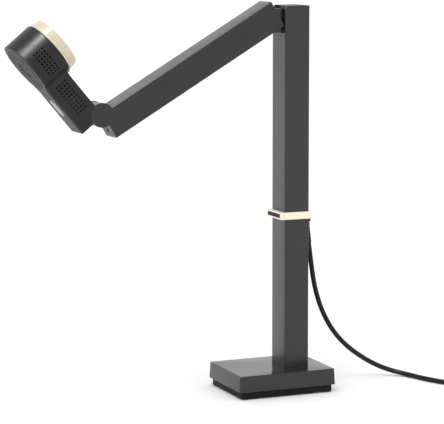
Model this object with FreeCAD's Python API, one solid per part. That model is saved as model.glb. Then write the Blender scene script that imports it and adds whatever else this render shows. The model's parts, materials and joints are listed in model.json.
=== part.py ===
import FreeCAD, Part
import math
import os

os.makedirs("parts", exist_ok=True)
V = FreeCAD.Vector

# Document camera. Millimetres, +Z up, origin at the centre of the base's underside.
# The arm and head reach out towards -X; the object is mirror-symmetric about Y = 0
# apart from its free cable. All pivots turn about axes parallel to Y.

# ---- driving dimensions -------------------------------------------------------------
BASE_LENGTH = 102.0          # X, top of the cover
BASE_WIDTH = 80.0            # Y, top of the cover
BASE_HEIGHT = 24.0
COVER_BOTTOM = 8.0           # the cover ends here, the inset plinth goes on below
COVER_DRAFT = 0.8            # outward lean of each cover side
PLINTH_INSET = 2.0           # plinth behind the cover's top outline
PAD_LENGTH = 90.0            # rubber pad under the plinth
PAD_WIDTH = 68.0
PAD_HEIGHT = 1.2
PAD_CORNER = 5.0
PLINTH_BOTTOM = 1.0          # the pad stands this far below the plinth

COLUMN_FRONT = 7.0           # X of the column face that looks along the arm
COLUMN_DEPTH = 26.3          # X
COLUMN_WIDTH = 31.0          # Y
COLUMN_TOP = 384.0
COLUMN_BOTTOM = 17.0
SIDE_WALL = 3.0              # walls facing +Y and -Y, which make the fork at the top
END_WALL = 2.2               # walls facing +X and -X

ARM_ANGLE = 30.5             # below horizontal
ARM_LENGTH = 203.0
ARM_HEIGHT = 27.6
ARM_WIDTH = 29.0
ARM_WALL = 1.8
PIVOT_REACH = 12.6           # arm pivot in front of the column
PIVOT_DROP = 14.65           # arm pivot below the column's top
END_PAST_PIVOT = 7.61        # the arm's end plane beyond its pivot, towards the column
PIVOT_OVER_UNDERSIDE = 10.61 # arm pivot above the arm's underside, square to the arm
NOSE_RADIUS = 11.75          # round nose of the hinge block
NOSE_HALF = 9.6              # half its width

ELBOW_PAST_END = 0.9         # elbow pivot beyond the tube's lower end
ELBOW_BELOW_TOP = 1.2        # elbow pivot below the arm's top side
EAR_RADIUS = 11.8
EAR_INNER = 10.2             # half gap between the arm's two cheeks, at both ends

HEAD_ANGLE = 50.2            # above horizontal
HEAD_WIDTH = 31.0            # handle
HEAD_THICKNESS = 26.5        # back of the handle to the lens face
HEAD_CENTRE = 79.0           # elbow to the axis of the round end
HEAD_RADIUS = 28.5
HEAD_BLEND = 18.0            # hollow radius where the handle meets the round end
BACK_RISE = 4.0              # the round end stands this far behind the handle
HEAD_WALL = 2.0
PLATE_THICKNESS = 2.0
PLATE_GAP = 0.1              # seam between shell and lens plate

KNOB_RADIUS = 27.4
KNOB_TOP_RADIUS = 26.3
KNOB_HEIGHT = 10.0
KNOB_GAP = 0.5

COLLAR_BOTTOM = 173.2
COLLAR_HEIGHT = 7.0
COLLAR_PROUD = 2.4           # beyond the column at the sides and back
COLLAR_FRONT = 5.0           # beyond the column's front face, where the folded arm rests

CABLE_DIAMETER = 5.0
EXIT_Z = 168.2               # underside of the cable outlet
RUN_FIT = 0.05               # radial play of a turning shaft
SLIP = 0.03                  # play of a fixed pin or screw in its hole

# ---- derived places -------------------------------------------------------------------
COLUMN_BACK = COLUMN_FRONT + COLUMN_DEPTH
COLUMN_MID = COLUMN_FRONT + COLUMN_DEPTH / 2
FORK_INNER = COLUMN_WIDTH / 2 - SIDE_WALL
ARM_PIVOT = V(COLUMN_FRONT - PIVOT_REACH, 0, COLUMN_TOP - PIVOT_DROP)
ARM_START = -END_PAST_PIVOT
ARM_END = ARM_START + ARM_LENGTH
ARM_TOP = PIVOT_OVER_UNDERSIDE - ARM_HEIGHT
ELBOW_X = ARM_END + ELBOW_PAST_END
ELBOW_Z = ARM_TOP + ELBOW_BELOW_TOP
ARM_FRAME = FreeCAD.Placement(ARM_PIVOT, FreeCAD.Rotation(V(0, 1, 0), 180 - ARM_ANGLE))
ELBOW = ARM_FRAME.multVec(V(ELBOW_X, 0, ELBOW_Z))
HEAD_FRAME = FreeCAD.Placement(ELBOW, FreeCAD.Rotation(V(0, 1, 0), HEAD_ANGLE - 180))
COLLAR_TOP = COLLAR_BOTTOM + COLLAR_HEIGHT
COLLAR_MID = COLLAR_BOTTOM + COLLAR_HEIGHT / 2
SHELL_FRONT = HEAD_THICKNESS - PLATE_THICKNESS - PLATE_GAP
PLATE_BACK = HEAD_THICKNESS - PLATE_THICKNESS
KNOB_BASE = -BACK_RISE - KNOB_GAP
KNOB_TOP = KNOB_BASE - KNOB_HEIGHT


# ---- helpers ----------------------------------------------------------------------------
def box(x0, x1, y0, y1, z0, z1):
    return Part.makeBox(x1 - x0, y1 - y0, z1 - z0, V(x0, y0, z0))


def bar(x0, x1, half_y, z0, z1):
    """A box centred on Y = 0."""
    return box(x0, x1, -half_y, half_y, z0, z1)


def rod_x(radius, x0, x1, y, z):
    return Part.makeCylinder(radius, x1 - x0, V(x0, y, z), V(1, 0, 0))


def rod_y(radius, y0, y1, x, z):
    return Part.makeCylinder(radius, y1 - y0, V(x, y0, z), V(0, 1, 0))


def rod_z(radius, z0, z1, x=0.0, y=0.0):
    return Part.makeCylinder(radius, z1 - z0, V(x, y, z0), V(0, 0, 1))


def round_along(shape, direction, radius):
    """Round every straight edge of a shape that runs along a direction."""
    edges = []
    for edge in shape.Edges:
        ends = [vertex.Point for vertex in edge.Vertexes]
        if len(ends) == 2 and isinstance(edge.Curve, Part.Line):
            run = ends[1].sub(ends[0])
            if run.cross(direction).Length < 1e-6 * run.Length:
                edges.append(edge)
    return shape.makeFillet(radius, edges)


def round_level(shape, z, radius):
    """Round the outer edges of a shape that lie in the level plane z."""
    edges = [e for e in shape.Edges if all(abs(v.Point.z - z) < 1e-6 for v in e.Vertexes)]
    return shape.makeFillet(radius, edges)


def slab(length, width, z0, z1, corner, x=0.0):
    """An upright block with rounded corners, centred on Y = 0."""
    return round_along(bar(x - length / 2, x + length / 2, width / 2, z0, z1), V(0, 0, 1), corner)


def rounded_outline(length, width, corner, z):
    """The closed outline of a rectangle with rounded corners."""
    block = slab(length, width, z, z + 1, corner)
    bottom = [face for face in block.Faces if abs(face.CenterOfMass.z - z) < 1e-6]
    return bottom[0].OuterWire


def oblong(length, width, z0, z1, x):
    """A plate with fully rounded ends, its long side along X."""
    half = (length - width) / 2
    body = bar(x - half, x + half, width / 2, z0, z1)
    for end in (-half, half):
        body = body.fuse(rod_z(width / 2, z0, z1, x + end))
    return body.removeSplitter()


def join(shapes):
    """Fuse a list of touching solids into one."""
    result = shapes[0].fuse(shapes[1:])
    return result.removeSplitter()


def both_sides(make):
    """Two mirror pieces, one each side of Y = 0."""
    return Part.makeCompound([make(1), make(-1)])


def side_rod(radius, inner, outer, side, x, z):
    """A rod along Y between two distances from the middle plane, on one side."""
    low, high = sorted((side * inner, side * outer))
    return rod_y(radius, low, high, x, z)


def screw_down(radius, head_radius, head_height, z_head, z_tip, x, y):
    """A screw whose head is at z_head and whose shank runs to z_tip."""
    step = 1 if z_tip > z_head else -1
    head_end = z_head + step * head_height
    head = rod_z(head_radius, min(z_head, head_end), max(z_head, head_end), x, y)
    shank = rod_z(radius, min(head_end, z_tip), max(head_end, z_tip), x, y)
    socket = rod_z(radius * 0.6, min(z_head, z_head + step * 1.2), max(z_head, z_head + step * 1.2), x, y)
    return head.fuse(shank).removeSplitter().cut(socket)


def place(shape, frame):
    shape = shape.copy()
    shape.Placement = frame.multiply(shape.Placement)
    return shape


def save(name, shape, frame=None):
    if frame is not None:
        shape = place(shape, frame)
    assert shape.isValid(), name
    shape.exportStep(f"parts/{name}.step")


# ---- base ------------------------------------------------------------------------------
SCREW_PLACES = [(sx * 43.0, sy * 32.0) for sx in (-1, 1) for sy in (-1, 1)]
SCREW_RADIUS = 1.5
COVER_TOP_WALL = 3.5
COVER_SIDE_WALL = 3.0
COVER_EDGE = 0.7             # rounding of the cover's top edge
COVER_POST = 3.4
COVER_POST_LOW = 10.8
CORNER = 2.5
PLINTH_CORNER = 2.0
PLINTH_FLOOR = 3.5
PLINTH_POST = 4.0
PLINTH_POST_TOP = 10.5
LIP_PLAY = 0.6
LIP_RISE = 2.5
BALLAST_LENGTH = 91.0
BALLAST_WIDTH = 69.0
BALLAST_TOP = 14.0
BALLAST_CORNER = 2.0
BALLAST_POST_HOLE = 5.2
BOLT_RADIUS = 2.0


def column_outline(clearance, z0, z1, corner=1.0):
    """The column's outside as a block, grown by a clearance."""
    return slab(COLUMN_DEPTH + 2 * clearance, COLUMN_WIDTH + 2 * clearance, z0, z1, corner, COLUMN_MID)


def base_cover():
    low = rounded_outline(BASE_LENGTH + 2 * COVER_DRAFT, BASE_WIDTH + 2 * COVER_DRAFT, CORNER, COVER_BOTTOM)
    high = rounded_outline(BASE_LENGTH, BASE_WIDTH, CORNER, BASE_HEIGHT)
    body = Part.makeLoft([low, high], True, True)
    body = round_level(body, BASE_HEIGHT, COVER_EDGE)
    ceiling = BASE_HEIGHT - COVER_TOP_WALL
    inner = slab(BASE_LENGTH - 2 * COVER_SIDE_WALL, BASE_WIDTH - 2 * COVER_SIDE_WALL,
                 COVER_BOTTOM - 1, ceiling, 1.5)
    body = body.cut(inner).cut(column_outline(0.2, ceiling - 1, BASE_HEIGHT + 1))
    for x, y in SCREW_PLACES:
        post = rod_z(COVER_POST, COVER_POST_LOW, ceiling, x, y)
        body = body.fuse(post.cut(rod_z(SCREW_RADIUS + SLIP, COVER_POST_LOW - 1, 18.6, x, y)))
    return body.removeSplitter()


def base_plinth():
    outer = slab(BASE_LENGTH - 2 * PLINTH_INSET, BASE_WIDTH - 2 * PLINTH_INSET,
                 PLINTH_BOTTOM, COVER_BOTTOM, PLINTH_CORNER)
    room_x = BASE_LENGTH - 2 * COVER_SIDE_WALL
    room_y = BASE_WIDTH - 2 * COVER_SIDE_WALL
    lip = slab(room_x - LIP_PLAY, room_y - LIP_PLAY, COVER_BOTTOM - 1, COVER_BOTTOM + LIP_RISE, 1.5)
    hollow = slab(room_x - 4.0, room_y - 4.0, PLINTH_FLOOR, COVER_BOTTOM + 3, 1.0)
    body = outer.fuse(lip).cut(hollow)
    for x, y in SCREW_PLACES:
        body = body.fuse(rod_z(PLINTH_POST, 3.0, PLINTH_POST_TOP, x, y))
    for x, y in SCREW_PLACES:
        body = body.cut(rod_z(1.7, 0, 11, x, y)).cut(rod_z(3.2, 0, 3.6, x, y))
    pad_recess = slab(PAD_LENGTH + 0.2, PAD_WIDTH + 0.2, 0, PAD_HEIGHT, PAD_CORNER)
    return body.removeSplitter().cut(pad_recess)


def rubber_pad():
    return slab(PAD_LENGTH, PAD_WIDTH, 0, PAD_HEIGHT, PAD_CORNER)


def ballast_weight():
    body = slab(BALLAST_LENGTH, BALLAST_WIDTH, PLINTH_FLOOR, BALLAST_TOP, BALLAST_CORNER)
    for x, y in SCREW_PLACES:
        body = body.cut(rod_z(BALLAST_POST_HOLE, 3, BALLAST_TOP + 1, x, y))
    for x, y in FOOT_BOLTS:
        body = body.cut(rod_z(BOLT_RADIUS + SLIP, 5.5, BALLAST_TOP + 1, x, y))
    return body


def base_screws():
    return Part.makeCompound([screw_down(SCREW_RADIUS, 2.9, 2.0, 1.4, 17.5, x, y) for x, y in SCREW_PLACES])


FOOT_BOLTS = [(COLUMN_MID + sx * 17.5, sy * 24.0) for sx in (-1, 1) for sy in (-1, 1)]
FOOT_TOP = 52.0
FLANGE_X = 44.0
FLANGE_Y = 58.0
FLANGE_CORNER = 3.0
WIRE_HOLE = 6.0
INSERT_HALF_X = COLUMN_DEPTH / 2 - END_WALL - SLIP
INSERT_HALF_Y = FORK_INNER - SLIP
SET_SCREW_HEIGHTS = (30.0, 42.0)


def column_foot():
    flange = slab(FLANGE_X, FLANGE_Y, BALLAST_TOP, COLUMN_BOTTOM, FLANGE_CORNER, COLUMN_MID)
    insert = bar(COLUMN_MID - INSERT_HALF_X, COLUMN_MID + INSERT_HALF_X, INSERT_HALF_Y,
                 COLUMN_BOTTOM, FOOT_TOP)
    body = flange.fuse(insert).cut(rod_z(WIRE_HOLE, BALLAST_TOP - 1, FOOT_TOP + 1, COLUMN_MID))
    for x, y in FOOT_BOLTS:
        body = body.cut(rod_z(BOLT_RADIUS + 0.2, BALLAST_TOP - 1, COLUMN_BOTTOM + 1, x, y))
    for z in SET_SCREW_HEIGHTS:
        body = body.cut(rod_x(BOLT_RADIUS + SLIP, COLUMN_MID, COLUMN_BACK, 0, z))
    return body.removeSplitter()


def column_foot_bolts():
    return Part.makeCompound([screw_down(BOLT_RADIUS, 3.5, 3.0, 20.0, 6.0, x, y) for x, y in FOOT_BOLTS])


def column_set_screws():
    """Two headless screws through the column's back wall into the foot."""
    screws = []
    for z in SET_SCREW_HEIGHTS:
        body = rod_x(BOLT_RADIUS, COLUMN_MID + 8.0, COLUMN_BACK - 0.3, 0, z)
        screws.append(body.cut(rod_x(1.0, COLUMN_BACK - 1.8, COLUMN_BACK, 0, z)))
    return Part.makeCompound(screws)


# ---- column ----------------------------------------------------------------------------
NOTCH_BOTTOM = ARM_PIVOT.z - NOSE_RADIUS - 0.5
FORK_BEVEL_X = 2.1
FORK_BEVEL_Z = 4.0
PIVOT_SHAFT = 4.0
BLOCK_FRONT = COLUMN_FRONT + 4.0
BLOCK_BOTTOM = 343.0
BLOCK_TOP = 380.0
BLOCK_SCREWS = (349.0, 374.0)
NECK_BACK = BLOCK_FRONT + 6.0
LEAD_HOLE_DEPTH = 20.0
LEAD_RADIUS = 2.2
LEAD_X = 15.5
THROAT_RADIUS = 2.2


def column_tube():
    body = column_outline(0, COLUMN_BOTTOM, COLUMN_TOP)
    inside = bar(COLUMN_FRONT + END_WALL, COLUMN_BACK - END_WALL, FORK_INNER,
                 COLUMN_BOTTOM - 1, COLUMN_TOP + 1)
    notch = bar(COLUMN_FRONT - 1, COLUMN_FRONT + END_WALL + 1, FORK_INNER,
                NOTCH_BOTTOM, COLUMN_TOP + 1)
    body = body.cut(inside).cut(notch)
    corner = [V(COLUMN_FRONT - 1, -COLUMN_WIDTH, COLUMN_TOP + 1),
              V(COLUMN_FRONT - 1, -COLUMN_WIDTH, COLUMN_TOP - FORK_BEVEL_Z * (1 + 1 / FORK_BEVEL_X)),
              V(COLUMN_FRONT + FORK_BEVEL_X, -COLUMN_WIDTH, COLUMN_TOP),
              V(COLUMN_FRONT + FORK_BEVEL_X, -COLUMN_WIDTH, COLUMN_TOP + 1)]
    wedge = Part.Face(Part.makePolygon(corner + corner[:1])).extrude(V(0, 2 * COLUMN_WIDTH, 0))
    body = body.cut(wedge)
    for z in SET_SCREW_HEIGHTS:
        body = body.cut(rod_x(BOLT_RADIUS + SLIP, COLUMN_MID, COLUMN_BACK + 1, 0, z))
    for z in BLOCK_SCREWS:
        body = body.cut(rod_x(1.6, COLUMN_MID, COLUMN_BACK + 1, 0, z))
        body = body.cut(Part.makeCone(1.6, 3.1, 1.5, V(COLUMN_BACK - 1.5, 0, z), V(1, 0, 0)))
    return body.cut(rod_x(THROAT_RADIUS + 0.1, COLUMN_MID, COLUMN_BACK + 1, 0, OUTLET_MID))


def hinge_block():
    """The block in the column's top whose round nose sticks out and carries the arm."""
    back = COLUMN_BACK - END_WALL - SLIP
    body = bar(BLOCK_FRONT, back, FORK_INNER - SLIP, BLOCK_BOTTOM, BLOCK_TOP)
    low = ARM_PIVOT.z - NOSE_RADIUS
    high = ARM_PIVOT.z + NOSE_RADIUS
    neck = bar(ARM_PIVOT.x, NECK_BACK, NOSE_HALF, low, high)
    nose = rod_y(NOSE_RADIUS, -NOSE_HALF, NOSE_HALF, ARM_PIVOT.x, ARM_PIVOT.z)
    body = join([body, neck, nose])
    body = body.cut(rod_y(PIVOT_SHAFT + RUN_FIT, -20, 20, ARM_PIVOT.x, ARM_PIVOT.z))
    body = body.cut(rod_z(LEAD_RADIUS + 0.8, BLOCK_BOTTOM - 1, BLOCK_BOTTOM + LEAD_HOLE_DEPTH, LEAD_X))
    for z in BLOCK_SCREWS:
        body = body.cut(rod_x(SCREW_RADIUS + SLIP, COLUMN_BACK - 9.0, COLUMN_BACK, 0, z))
    return body


def hinge_block_screws():
    screws = []
    for z in BLOCK_SCREWS:
        shank = rod_x(SCREW_RADIUS, COLUMN_BACK - 8.5, COLUMN_BACK - 1.2, 0, z)
        head = Part.makeCone(SCREW_RADIUS, 2.85, 1.25, V(COLUMN_BACK - 1.4, 0, z), V(1, 0, 0))
        socket = rod_x(0.9, COLUMN_BACK - 1.3, COLUMN_BACK + 0.1, 0, z)
        screws.append(shank.fuse(head).removeSplitter().cut(socket))
    return Part.makeCompound(screws)


def column_top_cap():
    """The lid of the column's top, behind the hinge block's neck."""
    back = COLUMN_BACK - END_WALL - SLIP
    high = COLUMN_TOP - 0.4
    over_neck = ARM_PIVOT.z + NOSE_RADIUS + 0.2
    plate = bar(NECK_BACK + 0.2, back, FORK_INNER - SLIP, BLOCK_TOP + 0.2, high)
    front = bar(BLOCK_FRONT, NECK_BACK + 0.4, FORK_INNER - SLIP, over_neck, high)
    return round_level(join([plate, front]), high, 0.4)


# ---- collar, on which the folded arm rests ----------------------------------------------
PAD_HALF = 14.4
PAD_HALF_Z = 1.95
PAD_DEPTH = 2.6
PAD_PROUD = 0.3
COLLAR_X0 = COLUMN_FRONT - COLLAR_FRONT
COLLAR_X1 = COLUMN_BACK + COLLAR_PROUD
COLLAR_FRONT_CORNER = 3.2
COLLAR_BACK_CORNER = 1.4


def collar_band():
    half = COLUMN_WIDTH / 2 + COLLAR_PROUD
    body = bar(COLLAR_X0, COLLAR_X1, half, COLLAR_BOTTOM, COLLAR_TOP)
    for x, radius in ((COLLAR_X0, COLLAR_FRONT_CORNER), (COLLAR_X1, COLLAR_BACK_CORNER)):
        corners = [e for e in body.Edges if e.BoundBox.ZLength > COLLAR_HEIGHT / 2
                   and abs(e.BoundBox.XMin - x) < 1e-6 and abs(abs(e.BoundBox.YMin) - half) < 1e-6]
        body = body.makeFillet(radius, corners)
    body = body.cut(column_outline(SLIP, COLLAR_BOTTOM - 1, COLLAR_TOP + 1))
    pocket = bar(COLLAR_X0 - 1, COLLAR_X0 + PAD_DEPTH + SLIP, PAD_HALF + SLIP,
                 COLLAR_MID - PAD_HALF_Z - SLIP, COLLAR_MID + PAD_HALF_Z + SLIP)
    return body.cut(pocket)


def collar_pad():
    """The soft dark bar let into the collar's front, where the folded arm comes to rest."""
    face = COLLAR_X0 - PAD_PROUD
    body = bar(face, COLLAR_X0 + PAD_DEPTH, PAD_HALF,
               COLLAR_MID - PAD_HALF_Z, COLLAR_MID + PAD_HALF_Z)
    edges = [e for e in body.Edges if all(abs(v.Point.x - face) < 1e-6 for v in e.Vertexes)]
    return body.makeFillet(0.4, edges)


# ---- cable, its outlet and its plug ------------------------------------------------------
OUTLET_DEPTH = 7.5
OUTLET_HALF = 4.6
OUTLET_MID = (EXIT_Z + COLLAR_BOTTOM) / 2
EXIT_X = COLUMN_BACK + 3.9
RELIEF_LENGTH = 22.0
RELIEF_LEAN = 8.0           # outwards from the vertical, in degrees
RELIEF_RADIUS = 3.5          # where it leaves the outlet
RELIEF_END_RADIUS = 2.95
RELIEF_GROOVES = 5
RELIEF_FIRST_GROOVE = 5.0
RELIEF_GROOVE_STEP = 3.4
RELIEF_GROOVE_WIDTH = 1.1
RELIEF_CORE = 2.75           # radius left inside each groove
OUTLET_EDGE = 1.2
FLOOR_LINE = CABLE_DIAMETER / 2

COIL_CENTRE = V(226.0, -82.0, 0)
COIL_MIDDLE = 27.2           # radius of the middle of its turns
COIL_BOTTOM = 0.5            # the tie passes under the turns
# Seven turns lie in three rows of two, three and two, each nested on the one below.
COIL_HALF_WIDTH = 1.5 * CABLE_DIAMETER
COIL_HEIGHT = CABLE_DIAMETER * (1 + math.sqrt(3))
COIL_ROUNDING = 4.4
TIE_WIDTH = 6.0
TIE_THICKNESS = 0.45
TIE_ANGLE = 150.0            # round the coil from +X

# Where the cable goes after its strain relief: down behind the column, out to the right
# and over the ground to the coil.
CABLE_ROUTE = [
    (43.2, 0.0, 125.5),
    (46.6, 0.8, 105.2),
    (52.2, 2.2, 86.6),
    (60.4, 4.2, 68.8),
    (71.6, 6.6, 51.8),
    (86.4, 9.0, 36.2),
    (104.0, 11.0, 23.0),
    (120.5, 11.5, 13.0),
    (134.5, 8.6, 6.6),
    (146.0, 1.0, 3.4),
    (152.8, -12.0, FLOOR_LINE),
    (157.0, -28.0, FLOOR_LINE),
    (164.0, -46.0, FLOOR_LINE),
    (173.0, -61.8, FLOOR_LINE),
    (185.0, -77.5, FLOOR_LINE),
    (195.5, -92.5, FLOOR_LINE),
]


def relief_end():
    lean = math.radians(RELIEF_LEAN)
    return V(EXIT_X + RELIEF_LENGTH * math.sin(lean), 0, EXIT_Z - RELIEF_LENGTH * math.cos(lean))


def cable_outlet():
    """The small hood under the collar's back that the cable comes out of."""
    body = bar(COLUMN_BACK, COLUMN_BACK + OUTLET_DEPTH, OUTLET_HALF, EXIT_Z, COLLAR_BOTTOM)
    edges = [e for e in body.Edges if e.BoundBox.XMin > COLUMN_BACK + 0.01
             and e.BoundBox.XMax > COLUMN_BACK + OUTLET_DEPTH - 0.01]
    body = body.makeFillet(OUTLET_EDGE, edges)
    throat = rod_x(THROAT_RADIUS, COLUMN_BACK - END_WALL, COLUMN_BACK + 1, 0, OUTLET_MID)
    return body.fuse(throat).removeSplitter()


def strain_relief():
    """A tapered boot with ring grooves, leaning slightly outwards."""
    end = relief_end()
    start = V(EXIT_X, 0, EXIT_Z)
    along = end.sub(start).normalize()
    body = Part.makeCone(RELIEF_RADIUS, RELIEF_END_RADIUS, RELIEF_LENGTH, start, along)
    for index in range(RELIEF_GROOVES):
        at = start + along * (RELIEF_FIRST_GROOVE + RELIEF_GROOVE_STEP * index)
        ring = Part.makeCylinder(RELIEF_RADIUS + 1, RELIEF_GROOVE_WIDTH, at, along)
        body = body.cut(ring.cut(Part.makeCylinder(RELIEF_CORE, RELIEF_GROOVE_WIDTH, at, along)))
    overlap = Part.makeCylinder(RELIEF_RADIUS, 1.5, start - along * 0.9, along)
    body = body.fuse(overlap).removeSplitter()
    return body.cut(bar(COLUMN_BACK, COLUMN_BACK + 20, 10, EXIT_Z, EXIT_Z + 10))


def rounded_path(points, print_name):
    """Straight runs joined by tangent arcs as large as the runs allow."""
    edges = []
    last = points[0]
    for before, corner, after in zip(points, points[1:], points[2:]):
        back = before.sub(corner)
        ahead = after.sub(corner)
        half_turn = (math.pi - back.getAngle(ahead)) / 2
        cut = 0.45 * min(back.Length, ahead.Length)
        back.normalize()
        ahead.normalize()
        start = corner + back * cut
        end = corner + ahead * cut
        radius = cut / math.tan(half_turn)
        inward = (back + ahead).normalize()
        middle = corner + inward * (radius / math.cos(half_turn) - radius)
        edges.append(Part.LineSegment(last, start).toShape())
        edges.append(Part.Arc(start, middle, end).toShape())
        last = end
        print(print_name, "radius", round(radius, 1), "turn", round(math.degrees(2 * half_turn), 1))
    edges.append(Part.LineSegment(last, points[-1]).toShape())
    return Part.Wire(edges)


def swept_tube(points, radius, name):
    path = rounded_path(points, name)
    start = points[0]
    section = Part.Wire(Part.Circle(start, points[1].sub(start), radius).toShape())
    tube = path.makePipeShell([section], True, False)
    expected = math.pi * radius ** 2 * path.Length
    print(name, "length", round(path.Length, 1), "volume over expected", round(tube.Volume / expected, 4))
    return tube


def usb_cable():
    points = [relief_end()] + [V(*p) for p in CABLE_ROUTE]
    return swept_tube(points, CABLE_DIAMETER / 2, "usb_cable")


def coil_band(inset, height, rounding):
    """The coil's outer shape, or a wider one round it for a negative inset."""
    outer = COIL_MIDDLE + COIL_HALF_WIDTH - inset
    inner = COIL_MIDDLE - COIL_HALF_WIDTH + inset
    low = COIL_BOTTOM + inset
    body = rod_z(outer, low, low + height, COIL_CENTRE.x, COIL_CENTRE.y)
    body = body.cut(rod_z(inner, low - 1, low + height + 1, COIL_CENTRE.x, COIL_CENTRE.y))
    return body.makeFillet(rounding, [e for e in body.Edges if isinstance(e.Curve, Part.Circle)])


def usb_cable_coil():
    return coil_band(0, COIL_HEIGHT, COIL_ROUNDING)


def coil_tie():
    """A flat strap round the coil's turns."""
    around = TIE_THICKNESS + SLIP
    outside = coil_band(-around, COIL_HEIGHT + 2 * around, COIL_ROUNDING + TIE_THICKNESS)
    inside = coil_band(-SLIP, COIL_HEIGHT + 2 * SLIP, COIL_ROUNDING)
    slice_box = box(0, 60, -TIE_WIDTH / 2, TIE_WIDTH / 2, -1, 40)
    slice_box.Placement = FreeCAD.Placement(COIL_CENTRE, FreeCAD.Rotation(V(0, 0, 1), TIE_ANGLE))
    return outside.cut(inside).common(slice_box)


# The cable leaves the coil's outer turn along a tangent, and its plug lies beyond, flat on
# the ground. The plug's own +X is that direction and its origin is its relief's thin end.
LEAVING_ANGLE = 10.0
LEAVING_RUN = 12.5
PLUG_RELIEF = 13.0
PLUG_BODY_END = PLUG_RELIEF + 22.0
PLUG_SHELL_END = PLUG_BODY_END + 12.0
OUTER_TURN = COIL_MIDDLE + CABLE_DIAMETER
PLUG_AXIS_Z = 3.9            # above the ground
PLUG_HALF_WIDTH = 7.6
SHELL_HALF_WIDTH = 6.0
SHELL_LOW = -2.2
SHELL_HIGH = 2.3
SHELL_WALL = 0.35
PLUG_TURN = FreeCAD.Rotation(V(0, 0, 1), 90 + LEAVING_ANGLE)
PLUG_AT = COIL_CENTRE + PLUG_TURN.multVec(V(LEAVING_RUN, -OUTER_TURN, PLUG_AXIS_Z))
PLUG_FRAME = FreeCAD.Placement(PLUG_AT, PLUG_TURN)


def usb_plug_relief():
    return Part.makeCone(2.7, 3.4, PLUG_RELIEF, V(0, 0, 0), V(1, 0, 0))


def usb_plug_body():
    body = bar(PLUG_RELIEF, PLUG_BODY_END, PLUG_HALF_WIDTH, -3.8, 4.0)
    return body.makeFillet(1.4, body.Edges)


def usb_plug_shell():
    outer = bar(PLUG_BODY_END, PLUG_SHELL_END, SHELL_HALF_WIDTH, SHELL_LOW, SHELL_HIGH)
    inner = bar(PLUG_BODY_END + 1, PLUG_SHELL_END + 1, SHELL_HALF_WIDTH - SHELL_WALL,
                SHELL_LOW + SHELL_WALL, SHELL_HIGH - SHELL_WALL)
    return outer.cut(inner)


def usb_plug_tongue():
    return bar(PLUG_BODY_END + 1, PLUG_SHELL_END - 0.6, 5.3, 0.0, 1.8)


def column_lead():
    return rod_z(LEAD_RADIUS, COLLAR_TOP, BLOCK_BOTTOM - 2, LEAD_X)


# ---- arm, in its own frame: origin at the arm pivot, +X towards the elbow, +Z underside --
EAR_OUTER = ARM_WIDTH / 2
EAR_COVER = 7.0
COVER_DISC = 0.8
COVER_SEAM = 0.04
ELBOW_SHAFT = 3.5
SLOT_RADIUS = EAR_RADIUS + 0.5
SLOT_DEPTH = 17.0                      # of the lower slot, from the arm's end
ARM_EDGE = 1.2                         # rounding of the arm's long edges
WASHER_RADIUS = 9.0
CAP_THICKNESS = 3.0
CAP_TOP = ELBOW_Z + SLOT_RADIUS + 0.45
BOSS_RADIUS = 3.6
END_SCREW_RADIUS = 1.25
END_SCREW_HEAD = 2.1
CORNER_SWEEP = PIVOT_REACH - 0.3       # the turning end keeps clear of the column
WEB = 3.5                              # solid web between each slot and the hollow
END_SCREW_Z = PIVOT_OVER_UNDERSIDE - 7.5
LEAD_Z = -4.0


def arm_tube():
    """The hollow arm with two cheeks at each end, the lower pair round, made in one piece."""
    body = bar(ARM_START, ARM_END, EAR_OUTER, ARM_TOP, PIVOT_OVER_UNDERSIDE)
    body = round_along(body, V(1, 0, 0), ARM_EDGE)
    body = body.fuse(rod_y(EAR_RADIUS, -EAR_OUTER, EAR_OUTER, ELBOW_X, ELBOW_Z)).removeSplitter()
    inner = EAR_OUTER - ARM_WALL
    low = PIVOT_OVER_UNDERSIDE - ARM_WALL
    ceiling = ARM_TOP + ARM_WALL
    body = body.cut(bar(SLOT_RADIUS + WEB, ARM_END - SLOT_RADIUS - WEB, inner, ceiling, low))
    body = body.cut(bar(ARM_END - SLOT_DEPTH, ARM_END + 1, inner, CAP_TOP - 0.05, low))
    body = body.cut(bar(ARM_END - SLOT_DEPTH, ARM_END + 20, EAR_INNER, ceiling, low))
    body = body.cut(rod_y(SLOT_RADIUS, -EAR_INNER, EAR_INNER, ELBOW_X, ELBOW_Z))
    body = body.cut(bar(ELBOW_X, ARM_END + 20, EAR_INNER, ARM_TOP - 20, low))
    body = body.cut(rod_y(SLOT_RADIUS, -EAR_INNER, EAR_INNER, 0, 0))
    body = body.cut(bar(ARM_START - 1, 0, EAR_INNER, ceiling, PIVOT_OVER_UNDERSIDE + 1))
    body = body.cut(bar(ARM_START - 1, SLOT_RADIUS, EAR_INNER, 0, PIVOT_OVER_UNDERSIDE + 1))
    corner = bar(ARM_START - 1, 0, EAR_OUTER + 1, 0, PIVOT_OVER_UNDERSIDE + 1)
    body = body.cut(corner.cut(rod_y(CORNER_SWEEP, -EAR_OUTER - 2, EAR_OUTER + 2, 0, 0)))
    body = body.cut(rod_x(LEAD_RADIUS + 0.6, 0, SLOT_RADIUS + WEB + 1, 0, LEAD_Z))
    for x, z, shaft in ((0, 0, PIVOT_SHAFT), (ELBOW_X, ELBOW_Z, ELBOW_SHAFT)):
        body = body.cut(rod_y(shaft + SLIP, -EAR_OUTER, EAR_OUTER, x, z))
        for side in (1, -1):
            recess = side_rod(EAR_COVER + COVER_SEAM, EAR_OUTER - COVER_DISC, EAR_OUTER + 1, side, x, z)
            body = body.cut(recess)
    return body


def cover_discs(x, z):
    """The flush discs that hide a shaft's two ends."""
    def disc(side):
        return side_rod(EAR_COVER, EAR_OUTER - COVER_DISC + 0.02, EAR_OUTER, side, x, z)
    return both_sides(disc)


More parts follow.
